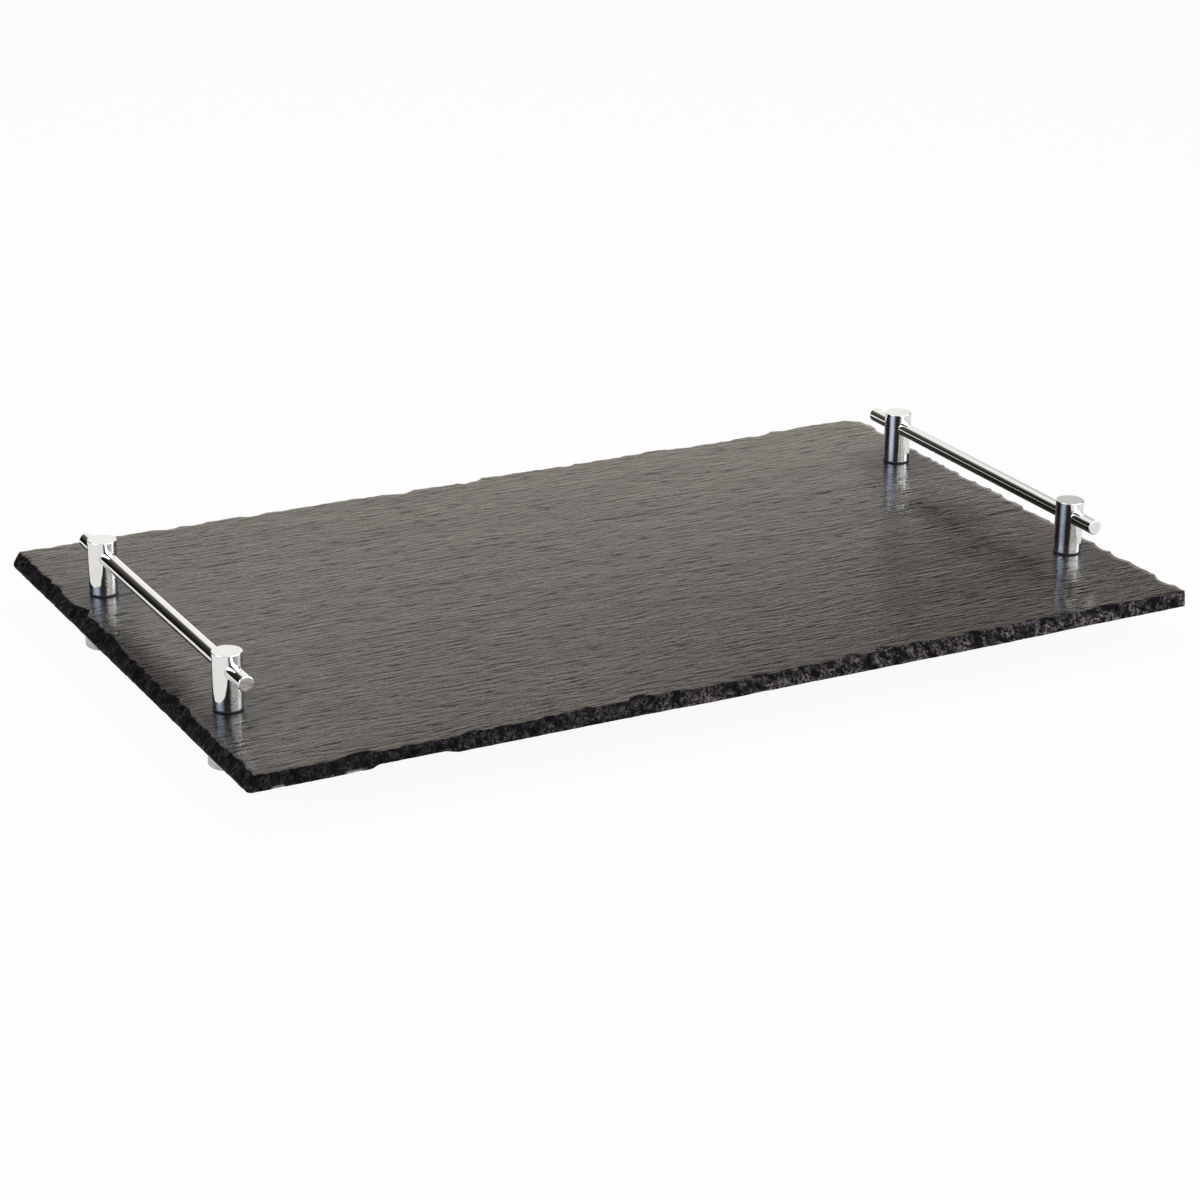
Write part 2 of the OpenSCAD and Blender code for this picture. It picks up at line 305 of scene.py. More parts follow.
@dataclass(frozen=True)
class CleftSlate(Finish):
    """Slate split along its grain and oiled.

    Splitting leaves fine ripples along the grain and thin layers that end in ragged steps. The oil
    darkens the stone and gives it a soft gloss, so it mirrors posts and studio at a low angle. A band
    holds the heights of the ripples between which colour, gloss or sheen goes from hollow to ridge.
    The darker colour and lower gloss in the hollows are painted shade, and the lighter ridges are painted
    light.
    """

    name: str = "slate_cleft_oiled"
    hollow_shade_colour: str = "#070605"
    ridge_light_colour: str = "#161210"
    hollow_shade_band: Band = (0.34, 0.62)
    step_shade_colour: str = "#050404"
    step_shade_strength: float = 0.7
    oil_tint: str = "#fffbf6"
    oil_ior: float = 1.05
    ior: float = 1.6
    mean_gloss: float = 0.4
    hollow_gloss_shade_band: Band = (0.32, 0.45)
    gloss: Band = (0.05, 0.5)
    sheen_band: Band = (0.3, 0.7)
    roughness: Band = (0.28, 0.18)
    ripple_length: float = 14 * MM
    ripple_width: float = 2.3 * MM
    ripple_depth: float = 2.3 * MM
    ripple_texture: Band = (3.0, 0.55)
    layer_length: float = 85 * MM
    layer_width: float = 15 * MM
    layer_texture: Band = (4.0, 0.6)
    layer_count: float = 5.0
    layer_depth: float = 0.3 * MM
    layer_strength: float = 0.6
    step_share: float = 0.16
    step_shade_share: float = 0.12
    sway: float = 4 * MM
    sway_length: float = 60 * MM
    sway_detail: float = 1.0
    grit_width: float = 0.45 * MM
    grit_depth: float = 0.05 * MM
    dressed_dulling: float = 0.14
    dressed_grit: float = 0.1
    dressed_spread: float = 0.35
    dressed_tint: str = "#eaf1ff"

    def sway_place(self, tree: Tree, place: Socket) -> Socket:
        """Moves coordinates across the grain in slow waves, as the grain itself wanders.

        Args:
            tree: The node tree that does it.
            place: The coordinates.

        Returns:
            The socket of the moved coordinates.
        """
        noise_inputs = {"Vector": place, "Scale": 1 / self.sway_length, "Detail": self.sway_detail}
        drift = add_node(tree, "TexNoise", noise_inputs)
        middle = (0.5, 0.5, 0.5)
        centred = add_node(tree, "VectorMath", {0: drift.outputs["Color"], 1: middle}, operation="SUBTRACT")
        inputs = {0: centred.outputs["Vector"], 1: (0.0, self.sway, 0.0), 2: place}
        return add_node(tree, "VectorMath", inputs, operation="MULTIPLY_ADD").outputs["Vector"]

    @staticmethod
    def add_grain(tree: Tree, place: Socket, size: Band, texture: Band) -> Socket:
        """Adds noise that is drawn out along the grain.

        Args:
            tree: The node tree that gets it.
            place: The coordinates that it follows.
            size: The length and width of its lumps.
            texture: How many finer layers it has, and how strong each is.

        Returns:
            The socket of its value.
        """
        scale = (1 / size[0], 1 / size[1], 0.0)
        drawn_out = add_node(tree, "Mapping", {"Vector": place, "Scale": scale}).outputs["Vector"]
        return add_noise(tree, drawn_out, 1.0, *texture)

    def make(self) -> bpy.types.Material:
        """Makes the material.

        Returns:
            The finished material.
        """
        material, tree, shader, place = self.start()
        dressed = read_mark(tree, Mark.DRESSED)
        swayed = self.sway_place(tree, place)
        ripple = self.add_grain(tree, swayed, (self.ripple_length, self.ripple_width), self.ripple_texture)
        layer = self.add_grain(tree, swayed, (self.layer_length, self.layer_width), self.layer_texture)
        past_step = calculate(tree, "FRACT", calculate(tree, "MULTIPLY", layer, self.layer_count))

        step = map_range(tree, past_step, (0.0, self.step_share), ease=EASED)
        bump = add_bump(tree, step, self.layer_depth, self.layer_strength)
        bump = add_bump(tree, ripple, self.ripple_depth, read_mark(tree, Mark.RELIEF), bump)
        rubbed = calculate(tree, "POWER", dressed, self.dressed_spread)
        left_grit = map_range(tree, rubbed, target=(1.0, self.dressed_grit))
        bump = add_bump(tree, add_noise(tree, place, self.grit_width), self.grit_depth, left_grit, bump)

        # Painted shade and light: the ripples' hollows get a darker colour and the ridges a lighter one.
        ridge = map_range(tree, ripple, self.hollow_shade_band)
        stone = mix_colours(tree, ridge, self.hollow_shade_colour, self.ridge_light_colour)
        # Painted shade: the foot of each layer's step, and the deeper lines, are darkened towards a
        # near-black colour.
        edge = map_range(tree, past_step, (self.step_shade_share, 0.0), (0.0, self.step_shade_strength))
        dark = calculate(tree, "MAXIMUM", edge, read_mark(tree, Mark.CLEFT))
        # Painted shade: the gloss is lower in the ripples' hollows.
        gloss = map_range(tree, ripple, self.hollow_gloss_shade_band, self.gloss, ease=EASED)
        sheen = map_range(tree, ripple, self.sheen_band, self.roughness)
        constants = {
            "IOR": self.ior,
            "Specular IOR Level": self.mean_gloss,
            "Coat Weight": 1.0,
            "Coat IOR": self.oil_ior,
            "Coat Tint": linear(self.oil_tint),
        }
        links = {
            "Base Color": mix_colours(tree, dark, stone, self.step_shade_colour),
            "Roughness": calculate(tree, "MULTIPLY_ADD", dressed, self.dressed_dulling, sheen),
            # Painted shade: the gloss follows the mark of oil and painted shade.
            "Specular IOR Level": calculate(tree, "MULTIPLY", gloss, read_mark(tree, Mark.OIL_AND_SHADE)),
            "Specular Tint": mix_colours(tree, dressed, WHITE, self.dressed_tint),
            "Normal": bump,
        }
        set_inputs(tree, shader, constants)
        set_inputs(tree, shader, links)
        return material


@dataclass(frozen=True)
class HewnSlate(Finish):
    """Slate broken across its grain with a chisel.

    The break is near black and matt, shows lighter crumbs on random lumps, partly real crumbs and
    partly painted highlight, and is pale grey where a chip came off last.
    """

    name: str = "slate_hewn"
    deep_colour: str = "#020101"
    face_colour: str = "#090506"
    fleck_highlight_colour: str = "#9c9193"
    fresh_colour: str = "#a8a6a2"
    roughness: Band = (0.8, 0.5)
    gloss: float = 0.05
    chip_width: float = 3.0 * MM
    chip_depth: float = 1.0 * MM
    chip_detail: float = 1.0
    lump_width: float = 5.0 * MM
    lump_band: Band = (0.4, 0.62)
    fleck_width: float = 1.5 * MM
    fleck_band: Band = (0.43, 0.74)
    fleck_texture: Band = (3.0, 0.65)
    grain_width: float = 0.5 * MM
    grain_depth: float = 0.2 * MM
    grain_detail: float = 3.0

    def make(self) -> bpy.types.Material:
        """Makes the material.

        Returns:
            The finished material.
        """
        material, tree, shader, place = self.start()
        chip_inputs = {"Vector": place, "Scale": 1 / self.chip_width, "Detail": self.chip_detail}
        chips = add_node(tree, "TexVoronoi", chip_inputs)
        grain = add_noise(tree, place, self.grain_width, self.grain_detail)
        flecks = add_noise(tree, place, self.fleck_width, *self.fleck_texture)
        lumps = add_noise(tree, place, self.lump_width)
        bump = add_bump(tree, chips.outputs["Distance"], self.chip_depth)

        body = mix_colours(tree, grain, self.deep_colour, self.face_colour)
        # Lighter flecks on random lumps: partly real crumbs, partly painted highlight.
        crumbs = map_range(tree, flecks, self.fleck_band)
        shown = calculate(tree, "MULTIPLY", crumbs, map_range(tree, lumps, self.lump_band))
        amount = calculate(tree, "MULTIPLY", shown, read_mark(tree, Mark.FLECK_HIGHLIGHT))
        flecked = mix_colours(tree, amount, body, self.fleck_highlight_colour)
        fresh = read_mark(tree, Mark.FRESH)
        inputs = {
            "Base Color": mix_colours(tree, fresh, flecked, self.fresh_colour),
            "Roughness": map_range(tree, flecks, target=self.roughness),
            "Specular IOR Level": self.gloss,
            "Normal": add_bump(tree, grain, self.grain_depth, below=bump),
        }
        set_inputs(tree, shader, inputs)
        return material


@dataclass(frozen=True)
class ChromePlate(Finish):
    """Chrome plate on polished brass: a near mirror, faintly dulled by wiping and handling."""

    name: str = "chrome_plate_polished"
    colour: str = "#eaeae6"
    roughness: Band = (0.035, 0.08)
    smear_width: float = 9 * MM
    smear_band: Band = (0.4, 0.75)
    smear_twist: float = 0.6
    smear_detail: float = 4.0
    ripple_width: float = 3.5 * MM
    ripple_depth: float = 0.006 * MM

    def make(self) -> bpy.types.Material:
        """Makes the material.

        Returns:
            The finished material.
        """
        material, tree, shader, place = self.start()
        smear = add_noise(tree, place, self.smear_width, self.smear_detail, twist=self.smear_twist)
        ripple = add_noise(tree, place, self.ripple_width)
        inputs = {
            "Metallic": 1.0,
            "Base Color": linear(self.colour),
            "Roughness": map_range(tree, smear, self.smear_band, self.roughness),
            "Normal": add_bump(tree, ripple, self.ripple_depth),
        }
        set_inputs(tree, shader, inputs)
        return material


@dataclass(frozen=True)
class Rubber(Finish):
    """Moulded rubber: an even satin skin with the fine grain of its mould."""

    colour: str = "#17171a"
    worn_colour: str = "#232326"
    roughness: Band = (0.52, 0.68)
    see_depth: float = 0.0
    see_share: float = 0.5
    grain_width: float = 0.35 * MM
    grain_depth: float = 0.03 * MM

    def make(self) -> bpy.types.Material:
        """Makes the material.

        Returns:
            The finished material.
        """
        material, tree, shader, place = self.start()
        grain = add_noise(tree, place, self.grain_width)
        inputs = {
            "Base Color": mix_colours(tree, grain, self.colour, self.worn_colour),
            "Roughness": map_range(tree, grain, target=self.roughness),
            "Normal": add_bump(tree, grain, self.grain_depth),
        }
        if self.see_depth:
            inputs["Subsurface Weight"] = self.see_share
            inputs["Subsurface Radius"] = (1.0, 1.0, 1.0)
            inputs["Subsurface Scale"] = self.see_depth
        set_inputs(tree, shader, inputs)
        return material


@dataclass(frozen=True)
class ZincSteel(Finish):
    """Steel with a bright zinc plate: a cool grey metal with cloudy spangles and fine tool marks."""

    name: str = "steel_bright_zinc"
    colour: str = "#b4b7bb"
    cloud_colour: str = "#9a9ea6"
    roughness: Band = (0.2, 0.4)
    cloud_width: float = 1.6 * MM
    mark_width: float = 0.3 * MM
    mark_depth: float = 0.02 * MM

    def make(self) -> bpy.types.Material:
        """Makes the material.

        Returns:
            The finished material.
        """
        material, tree, shader, place = self.start()
        clouds = add_noise(tree, place, self.cloud_width)
        inputs = {
            "Metallic": 1.0,
            "Base Color": mix_colours(tree, clouds, self.colour, self.cloud_colour),
            "Roughness": map_range(tree, clouds, target=self.roughness),
            "Normal": add_bump(tree, add_noise(tree, place, self.mark_width), self.mark_depth),
        }
        set_inputs(tree, shader, inputs)
        return material


@dataclass(frozen=True)
class Lumps:
    """Smooth random lumps: their length and width, and the layer of the noise that they come from."""

    length: float
    width: float
    layer: float = 0.0

    def at(self, along: float, across: float) -> float:
        """Returns the height of the lumps, from -1 to 1, at a place."""
        return noise.noise(Vector((along / self.length, across / self.width, self.layer)))


@dataclass(frozen=True)
class Cleft:
    """A deeper line in the split face, where a thin layer tore off: its middle, length and lean. Its finish
    paints it dark and takes gloss from it, as painted shade.
    """

    x: float
    y: float
    length: float
    lean_deg: float
    depth: float = 0.35 * MM
    half_width: float = 1.5 * MM
    end_shares: Band = (0.3, 0.55)
    wander: float = 1.2 * MM
    lumps: Lumps = Lumps(9 * MM, MM)

    def mark(self, x: float, y: float) -> float:
        """Says how much of this line reaches a point of the face.

        Args:
            x: The point's place along the board.
            y: The point's place across it.

        Returns:
            1 on the line, falling to 0 at its ends and a few millimetres to the side of it.
        """
        lean = math.radians(self.lean_deg)
        dx, dy = x - self.x, y - self.y
        along = dx * math.cos(lean) + dy * math.sin(lean)
        across = dy * math.cos(lean) - dx * math.sin(lean)
        across += self.wander * self.lumps.at(x, self.y)
        reach = 1 - smooth_step(abs(along), *(share * self.length for share in self.end_shares))
        return reach * (1 - smooth_step(abs(across), 0.0, self.half_width))


@dataclass(frozen=True)
class Chip:
    """A place on a side where a chip came off last: its side, middle, width, height and depth."""

    side: Side
    along: float
    width: float
    low_share: float
    high_share: float
    depth: float
    fresh: float = 1.0
    flat_share: float = 0.7

    def mark(self, side: Side, along: float, share: float) -> float:
        """Says how much of this chip reaches a point of a side.

        Args:
            side: The side that the point is on.
            along: The point's place along that side.
            share: The point's height, as a share of the slab's thickness.

        Returns:
            1 in the chip's middle, falling to 0 at its rim.
        """
        if side is not self.side:
            return 0.0
        middle = (self.low_share + self.high_share) / 2
        marked = 1.0
        for off, half in (
            (abs(along - self.along), self.width / 2),
            (abs(share - middle), (self.high_share - self.low_share) / 2),
        ):
            marked *= 1 - smooth_step(off, self.flat_share * half, half)
        return marked


@dataclass(frozen=True)
class Spall:
    """A broad flake that came off a side's top edge: its side, middle, width and reach into the face."""

    side: Side
    along: float
    width: float
    reach: float

    def bite(self, side: Side, along: float) -> float:
        """Returns how far this spall cuts into the top edge at a place along a side."""
        off = abs(along - self.along) / (0.5 * self.width)
        return self.reach * math.sqrt(1 - off * off) if side is self.side and off < 1 else 0.0


@dataclass(frozen=True)
class ShadeSpot:
    """A spot of painted shade on the split face's gloss: its middle, reach both ways and the share missing.
    """

    x: float
    y: float
    reach_x: float
    reach_y: float
    share: float
    full_reach: float = 0.2

    def missing(self, x: float, y: float) -> float:
        """Returns the share of the gloss that this painted shade takes away at a point of the face."""
        off = math.hypot((x - self.x) / self.reach_x, (y - self.y) / self.reach_y)
        return self.share * (1 - smooth_step(off, self.full_reach, 1.0))


@dataclass(frozen=True)
class OilGlossShade:
    """Painted shade on the oiled split face's gloss: full, but for losses at the front, at the left edge, in
    spots and along the deeper lines, taken back near the posts.

    A run is where a loss starts and ends. Those of the front losses are shares of half the board's
    length, the others are lengths.
    """

    broad_loss: float = 0.2
    broad_run: Band = (-0.82, -0.25)
    broad_skew: float = 0.5
    front_loss: float = 0.27
    front_run: Band = (-0.41, 0.23)
    front_power: float = 1.5
    left_loss: float = 0.62
    left_run: Band = (9 * MM, 26 * MM)
    left_middle: float = -25 * MM
    left_end_run: Band = (50 * MM, 85 * MM)
    left_end_gain: float = 0.7
    post_unshaded_run: Band = (12 * MM, 34 * MM)
    post_unshaded_gain: float = 0.95
    cleft_shade_loss: float = 0.75
    response: float = 2.5
    spots: tuple[ShadeSpot, ...] = ()


@dataclass
class SlateSlab:
    """The slate slab: a split top and underside, and four sides hewn flake by flake.

    The flakes' places and sizes follow the same formulas as the CAD source, in the same order, and
    finer chips and the grain's relief are added to them. A fade is how far from a post's axis a
    change starts and ends. Two shares hold what shows at the start and what the rise adds to it.
    """

    CHANCE_STEP = 127.1
    CHANCE_START = 311.7
    CHANCE_SPREAD = 43758.5
    SIDE_NUMBERS = 101
    SIZE_NUMBER = 0.5
    SIDE_LAYER = 17.0
    SPECK_LAYER = 31.0

    flake_width: float = 12 * MM
    flake_depth: float = 2.2 * MM
    flake_spread: float = 0.55
    least_flake: float = 0.15
    edge_wander: float = 1.6 * MM
    wander_waves: int = 3
    leans: tuple[float, ...] = (1.6 * MM, -0.7 * MM, 0.8 * MM, 3.3 * MM)
    end_radii: tuple[float, ...] = (3 * MM, 15 * MM, 3 * MM, 3 * MM)
    ridge_height: float = 1.6 * MM
    undercut: float = 0.6 * MM
    margin: float = 11 * MM
    drill_diameter: float = 6.5 * MM
    drill_segments: int = 40
    drill_reach: float = 3.0
    cell_along: float = 3.3 * MM
    cell_across: float = 1.3 * MM
    rows: int = 8
    weld_gap: float = 0.01 * MM
    face_share: float = 0.01
    least_upright: float = 0.9
    wave_depth: float = 0.22 * MM
    wave_lumps: Lumps = Lumps(75 * MM, 17 * MM, 1.7)
    ripple_depth: float = 0.09 * MM
    ripple_lumps: Lumps = Lumps(18 * MM, 4.3 * MM, 7.9)
    sway: float = 5 * MM
    sway_lumps: Lumps = Lumps(70 * MM, 50 * MM, 3.1)
    flat_fade: Band = (9.5 * MM, 18 * MM)
    tooth_depth: float = 0.55 * MM
    tooth_size: Band = (3.6 * MM, 9 * MM)
    tooth_shares: Band = (0.3, 0.7)
    tooth_flat: float = 0.1
    step_size: Band = (1.7 * MM, 2.6 * MM)
    step_shares: Band = (0.25, 0.35)
    deepest_step: float = 0.3
    facet_depth: float = 0.75 * MM
    facet_size: Band = (4.2 * MM, 3.0 * MM)
    facet_mean: float = 0.6
    spall_start: float = 0.4
    spall_depth: float = 0.7 * MM
    spall_width: float = 2.6 * MM
    spall_lumps: Lumps = Lumps(7 * MM, 7 * MM, 11.3)
    foot_swell: float = 1.0 * MM
    swell_start: Band = (-80 * MM, -20 * MM)
    swell_end: Band = (150 * MM, 200 * MM)
    pale_specks: float = 0.5
    left_specks: float = 0.25
    speck_length: float = 1.9 * MM
    speck_rows: float = 2.5
    speck_band: Band = (0.35, 0.6)
    speck_height: Band = (0.05, 0.2)
    skin: float = 0.5 * MM
    fleck_run: Band = (-1.0, 0.75)
    fleck_shares: Band = (0.17, 0.93)
    low_fleck_run: Band = (0.2, 1.0)
    low_fleck_shares: Band = (0.7, 0.3)
    dressed_fade: Band = (13 * MM, 38 * MM)
    rubbed_share: float = 0.4
    front_left_relief: float = 1.21
    relief_losses: Band = (0.6, 0.48)
    least_relief: float = 0.4
    oil_gloss_shade: OilGlossShade = OilGlossShade()
    clefts: tuple[Cleft, ...] = ()
    chips: tuple[Chip, ...] = ()
    spalls: tuple[Spall, ...] = ()

    def __post_init__(self) -> None:
        """Takes the slab's size from its CAD node and works out its flakes."""
        low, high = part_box("slate_board")
        self.base, self.top = low.z, high.z
        self.thickness = high.z - low.z
        self.reach_x, self.reach_y = (high.x - low.x) / 2, (high.y - low.y) / 2
        self.posts = [post.axis() for post in Post]
        self.flakes = {side: self.side_flakes(side) for side in Side}

    def chance(self, number: float) -> float:
        """Returns the repeatable chance value from 0 to 1 that the CAD source gives this number."""
        spun = math.sin(math.radians(number * self.CHANCE_STEP + self.CHANCE_START)) * self.CHANCE_SPREAD
        return spun - math.floor(spun)

    def side_length(self, side: Side) -> float:
        """Returns the length of a side over its furthest points."""
        return 2 * (self.reach_x if side in (Side.FRONT, Side.REAR) else self.reach_y)

    def side_flakes(self, side: Side) -> list[tuple[float, float, float]]:
        """Works out the flakes that were struck off one side.

        Args:
            side: The side.

        Returns:
            For each flake the shares of the side's run where it starts and ends, and its depth.
        """
        count = math.floor(self.side_length(side) / self.flake_width + 0.5)
        numbers = [self.SIDE_NUMBERS * side.value + flake for flake in range(count)]
        widths = [1 + self.flake_spread * (2 * self.chance(number) - 1) for number in numbers]
        whole, start, flakes = sum(widths), 0.0, []
        for number, width in zip(numbers, widths):
            size = self.least_flake + (1 - self.least_flake) * self.chance(number + self.SIZE_NUMBER)
            flakes.append((start / whole, (start + width) / whole, self.flake_depth * width * size))
            start += width
        return flakes

    def scoop(self, side: Side, share: float) -> float:
        """Gives the depth of the flakes' scoops.

        Args:
            side: The side.
            share: The place along it, as a share of its run.

        Returns:
            The depth there.
        """
        for start, end, depth in self.flakes[side]:
            if share <= end:
                within = (share - start) / (end - start)
                return max(depth * 4 * within * (1 - within), 0.0)
        return 0.0

    def wander(self, side: Side, share: float) -> float:
        """Returns the depth of the slow waves in the top edge at a share of a side's run."""
        phase = 2 * math.pi * (self.wander_waves * share + self.chance(side.value))
        return self.edge_wander * math.sin(math.pi * share) * (1 + math.sin(phase)) / 2

    def profile(self, height: float) -> tuple[float, float, float]:
        """Gives what a side does at a height above the underside.

        Args:
            height: The height above the slab's underside.

        Returns:
            The shares of the side's undercut, lean and flakes that show there.
        """
        middle = (self.ridge_height + self.thickness) / 2
        heights = (0.0, self.ridge_height, middle, self.thickness)
        shares = ((0.3, 0.0, 0.15), (0.0, 0.0, 0.0), (0.0, 0.35, 0.6), (0.0, 1.0, 1.0))
        for low, high, below, above in zip(heights, heights[1:], shares, shares[1:]):
            if height <= high:
                rise = (height - low) / (high - low)
                break
        else:
            rise = 1.0
        undercut, lean, flake = (a + rise * (b - a) for a, b in zip(below, above))
        return undercut, lean, flake

    def side_distance(self, side: Side, x: float, y: float) -> tuple[float, float]:
        """Finds where a point lies beside one side.

        Args:
            side: The side.
            x: The point's place along the board.
            y: The point's place across it.

        Returns:
            The distance in from the side's furthest line, and the place along the side.
        """
        return {
            Side.FRONT: (self.reach_y + y, x),
            Side.RIGHT: (self.reach_x - x, y),
            Side.REAR: (self.reach_y - y, -x),
            Side.LEFT: (self.reach_x + x, -y),
        }[side]

    def side_spot(self, side: Side, along: float, height: float, size: Band) -> Vector:
        """Returns the spot of the noise for a place on a side, for lumps of a length and height."""
        return Vector((along / size[0], self.SIDE_LAYER * (side.value + 1), height / size[1]))

    def inset(self, side: Side, along: float, height: float) -> float:
        """Gives how far a side is cut back from its furthest line.

        Args:
            side: The side.
            along: The place along it, from its middle.
            height: The height above the slab's underside.

        Returns:
            The depth of the cut, from lean, flakes, waves, chips and facets.
        """
        undercut, lean, flake = self.profile(height)
        half = self.side_length(side) / 2
        share = min(max((along + half) / (2 * half), 0.0), 1.0)
        level = height / self.thickness
        cut = undercut * self.undercut + lean * (self.leans[side.value] + self.wander(side, share))
        cut += flake * self.scoop(side, share)
        bite = max((spall.bite(side, along) for spall in self.spalls), default=0.0)
        cut += max(flake - self.spall_start, 0.0) / (1 - self.spall_start) * bite
        tooth = noise.noise(self.side_spot(side, along, height, self.tooth_size))
        start, rise = self.tooth_shares
        cut += self.tooth_depth * (start + rise * flake) * (max(tooth, -self.tooth_flat) - self.tooth_flat)
        step = noise.noise(self.side_spot(side, along, height, self.step_size))
        start, rise = self.step_shares
        cut += (start + rise * flake) * self.tooth_depth * max(step, -self.deepest_step)
        if 0.0 < level < 1.0:
            nearest = noise.voronoi(self.side_spot(side, along, height, self.facet_size))[0][0]
            cut += self.facet_depth * math.sin(math.pi * level) * (self.facet_mean - nearest)
        if side is Side.FRONT:
            swollen = smooth_step(along, *self.swell_start) * (1 - smooth_step(along, *self.swell_end))
            cut -= self.foot_swell * swollen * (1 - level)
        for chip in self.chips:
            cut += chip.depth * chip.mark(side, along, level)
        return cut

    def relief(self, x: float, y: float) -> float:
        """Gives the height of the split face above its mean.

        Args:
            x: The place along the board.
            y: The place across it.

        Returns:
            The height, which is nothing under the posts and feet, where the face was dressed flat.
        """
        swayed = y + self.sway * self.sway_lumps.at(x, y)
        height = self.wave_depth * self.wave_lumps.at(x, swayed)
        height += self.ripple_depth * self.ripple_lumps.at(x, swayed)
        for cleft in self.clefts:
            if abs(x - cleft.x) < cleft.length and abs(y - cleft.y) < cleft.length:
                height -= cleft.depth * cleft.mark(x, y)
        return height * smooth_step(self.post_distance(Vector((x, y))), *self.flat_fade)

    def post_distance(self, point: Vector) -> float:
        """Returns how far in plan a point lies from the nearest post's axis."""
        return min((point.to_2d() - post).length for post in self.posts)

    def place(self, flat: Vector) -> Vector:
        """Moves a point of the plain block to where the hewn slab has it.

        Args:
            flat: The point in the plain block.

        Returns:
            Its place in the slab.
        """
        x, y = flat.x, flat.y
        for radius, (sign_x, sign_y) in zip(self.end_radii, ((1, -1), (1, 1), (-1, 1), (-1, -1))):
            middle = Vector((sign_x * (self.reach_x - radius), sign_y * (self.reach_y - radius)))
            out = Vector((sign_x * (x - middle.x), sign_y * (y - middle.y)))
            if out.x > 0 and out.y > 0:
                out *= max(out) / out.length
                x, y = middle.x + sign_x * out.x, middle.y + sign_y * out.y
        height = flat.z - self.base
        move = Vector((0.0, 0.0))
        edge = self.margin
        for side, inward in zip(Side, ((0, 1), (-1, 0), (0, -1), (1, 0))):
            depth, along = self.side_distance(side, x, y)
            edge = min(edge, depth)
            if depth < self.margin:
                move += Vector(inward) * self.inset(side, along, height) * (1 - depth / self.margin)
        x, y = x + move.x, y + move.y
        z = flat.z
        if height > (1 - self.face_share) * self.thickness:
            spall = self.spall_depth * max(self.spall_lumps.at(x, y), 0.0)
            z += self.relief(x, y) - spall * (1 - smooth_step(edge, 0.0, self.spall_width))
        elif height < self.face_share * self.thickness:
            z -= self.relief(x, -y)
        return Vector((x, y, max(z, self.base)))

    def plain_block(self) -> bmesh.types.BMesh:
        """Builds the slab as a plain block, with a fine top, a coarser underside and rows of side faces.

        Returns:
            The block, closed and with its faces pointing outwards.
        """
        along = 2 * round(self.reach_x / self.cell_along)
        across = 2 * round(self.reach_y / self.cell_across)
        block = bmesh.new()
        size = Matrix.Diagonal((self.reach_x, self.reach_y, 1.0, 1.0))
        # The underside's cells are twice as large, and its rim is cut finer so that both rims match.
        for height, coarser, cuts_along, cuts_across in ((self.base, 2, 5, 1), (self.top, 1, 2, 0)):
            grid = bmesh.ops.create_grid(
                block,
                x_segments=along // coarser,
                y_segments=across // coarser,
                size=1.0,
                matrix=Matrix.Translation((0, 0, height)) @ size,
            )
            new_faces = {face for vert in grid["verts"] for face in vert.link_faces}
            rim = [edge for face in new_faces for edge in face.edges if edge.is_boundary]
            for direction, cuts in ((0, cuts_along), (1, cuts_across)):
                edges = {e for e in rim if abs((e.verts[0].co - e.verts[1].co)[direction]) > TINY}
                if cuts:
                    bmesh.ops.subdivide_edges(block, edges=list(edges), cuts=cuts)
        half_way = self.base + 0.5 * self.thickness
        rim = [edge for edge in block.edges if edge.is_boundary and edge.verts[0].co.z > half_way]
        for _ in range(self.rows):
            grown = bmesh.ops.extrude_edge_only(block, edges=rim)["geom"]
            rim = pick(grown, bmesh.types.BMEdge)
            verts = pick(grown, bmesh.types.BMVert)
            bmesh.ops.translate(block, verts=verts, vec=(0, 0, -self.thickness / self.rows))
        bmesh.ops.remove_doubles(block, verts=block.verts, dist=self.weld_gap)
        bmesh.ops.recalc_face_normals(block, faces=block.faces)
        return block

    def build(self, cleft: bpy.types.Material, hewn: bpy.types.Material) -> bpy.types.Object:
        """Builds the slab and dresses it.

        Args:
            cleft: The finish of the split top and underside.
            hewn: The finish of the broken sides.

        Returns:
            The slab.
        """
        block = self.plain_block()
        layers = {mark: block.verts.layers.float.new(mark.value) for mark in Mark}
        for vert in block.verts:
            flat = vert.co.copy()
            level = (flat.z - self.base) / self.thickness
            on_top = level > 1 - self.face_share
            vert.co = self.place(flat)
            vert[layers[Mark.CLEFT]] = self.cleft_mark(vert.co) if on_top else 0.0
            vert[layers[Mark.DRESSED]] = self.dressed_mark(vert.co)
            vert[layers[Mark.RELIEF]] = self.relief_mark(vert.co)
            vert[layers[Mark.OIL_AND_SHADE]] = self.oil_and_shade_mark(vert.co) if on_top else 1.0
            vert[layers[Mark.FLECK_HIGHLIGHT]] = self.fleck_highlight_mark(flat)
            vert[layers[Mark.FRESH]] = self.fresh_mark(flat, level)
        block.normal_update()
        for face in block.faces:
            face.smooth = abs(face.normal.z) > self.least_upright
            face.material_index = 0 if face.smooth else 1
        bmesh.ops.triangulate(block, faces=block.faces)
        slab = add_object("slate_slab", make_mesh("slate_slab", block, cleft, hewn))
        self.drill(slab, hewn)
        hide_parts("slate_board")
        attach(slab, "root")
        return slab

    def cleft_mark(self, point: Vector) -> float:
        """Returns how much of the deeper lines reaches a point, where the finish paints shade."""
        return max((cleft.mark(point.x, point.y) for cleft in self.clefts), default=0.0)

    def dressed_mark(self, point: Vector) -> float:
        """Returns how far the face was rubbed flat at a point, for a post or foot to sit on."""
        return 1 - smooth_step(self.post_distance(point), *self.dressed_fade)

